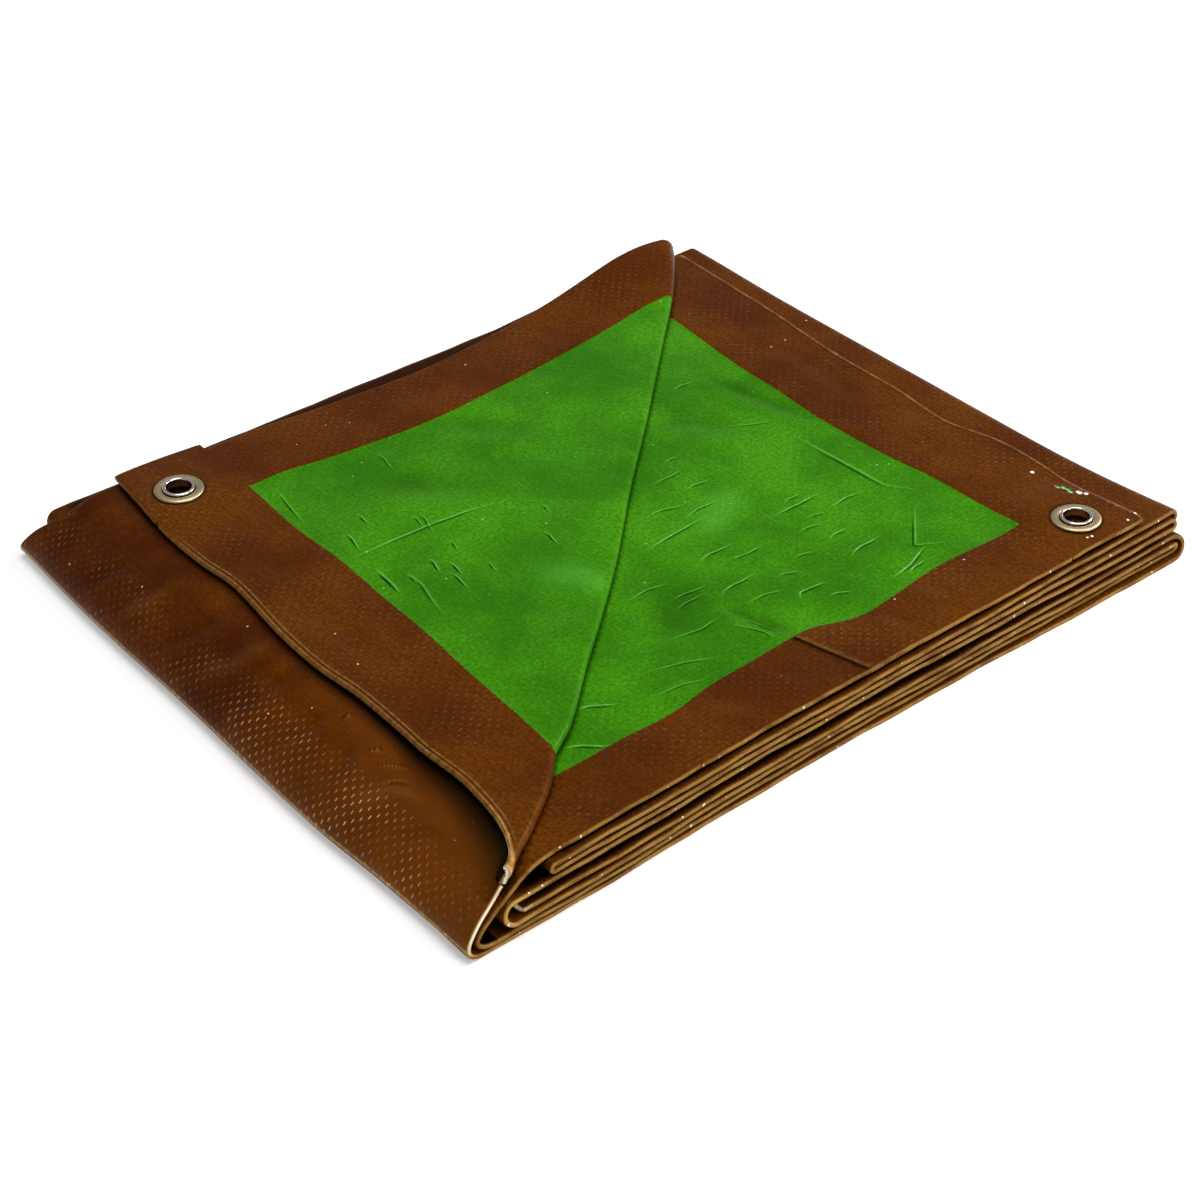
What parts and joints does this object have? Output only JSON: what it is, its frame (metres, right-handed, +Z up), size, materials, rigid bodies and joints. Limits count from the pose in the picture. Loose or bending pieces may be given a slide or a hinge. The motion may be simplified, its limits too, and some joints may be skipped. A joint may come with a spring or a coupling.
{
  "type": "folded tarp",
  "caption": "Woven plastic tarp, brown on one side and green on the other, folded into a flat pack with one corner turned back along a diagonal and metal eyelets in the hemmed corners.",
  "frame": {"origin": "on the surface that the pack lies on, below the middle of its box", "axes": "+X along the long front edge towards the folded end with the right eyelet, +Y from the front edge to the back edge, +Z up"},
  "size_m": [0.401, 0.3306, 0.0378],
  "materials": {
    "woven_sheet": "coated woven plastic with a soft sheen, brown outside and green inside",
    "hem_corner": "the same brown sheet, doubled and heat sealed",
    "eyelet_metal": "bright pressed metal"
  },
  "bodies": {
    "root": {"cloth": "woven_sheet", "corner_strip_right": "hem_corner", "corner_strip_left": "hem_corner", "eyelet_right": "eyelet_metal", "washer_right": "eyelet_metal", "eyelet_left": "eyelet_metal", "washer_left": "eyelet_metal"}
  },
  "joints": []
}
